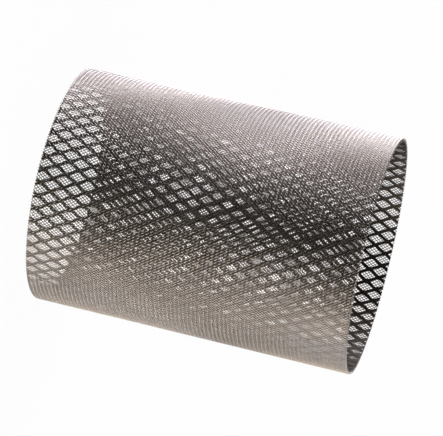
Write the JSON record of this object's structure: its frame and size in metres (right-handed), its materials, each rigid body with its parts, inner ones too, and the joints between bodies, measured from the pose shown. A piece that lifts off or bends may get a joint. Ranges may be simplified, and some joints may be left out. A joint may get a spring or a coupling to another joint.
{
  "type": "strainer screen",
  "caption": "Cylindrical strainer screen, open at both ends: fine woven wire cloth over a support tube of expanded metal with a diamond lattice.",
  "frame": {"origin": "centre of the lower cut end, on the axis of the sleeve", "axes": "+Z along the axis, from the lower cut end to the upper one; +X through a column of whole diamonds"},
  "size_m": [0.062, 0.0616, 0.084],
  "materials": {
    "support_steel": "dull rolled stainless steel",
    "cloth_steel": "woven drawn stainless steel wire"
  },
  "bodies": {
    "root": {"support_tube": "support_steel", "wire_cloth": "cloth_steel"}
  },
  "joints": []
}
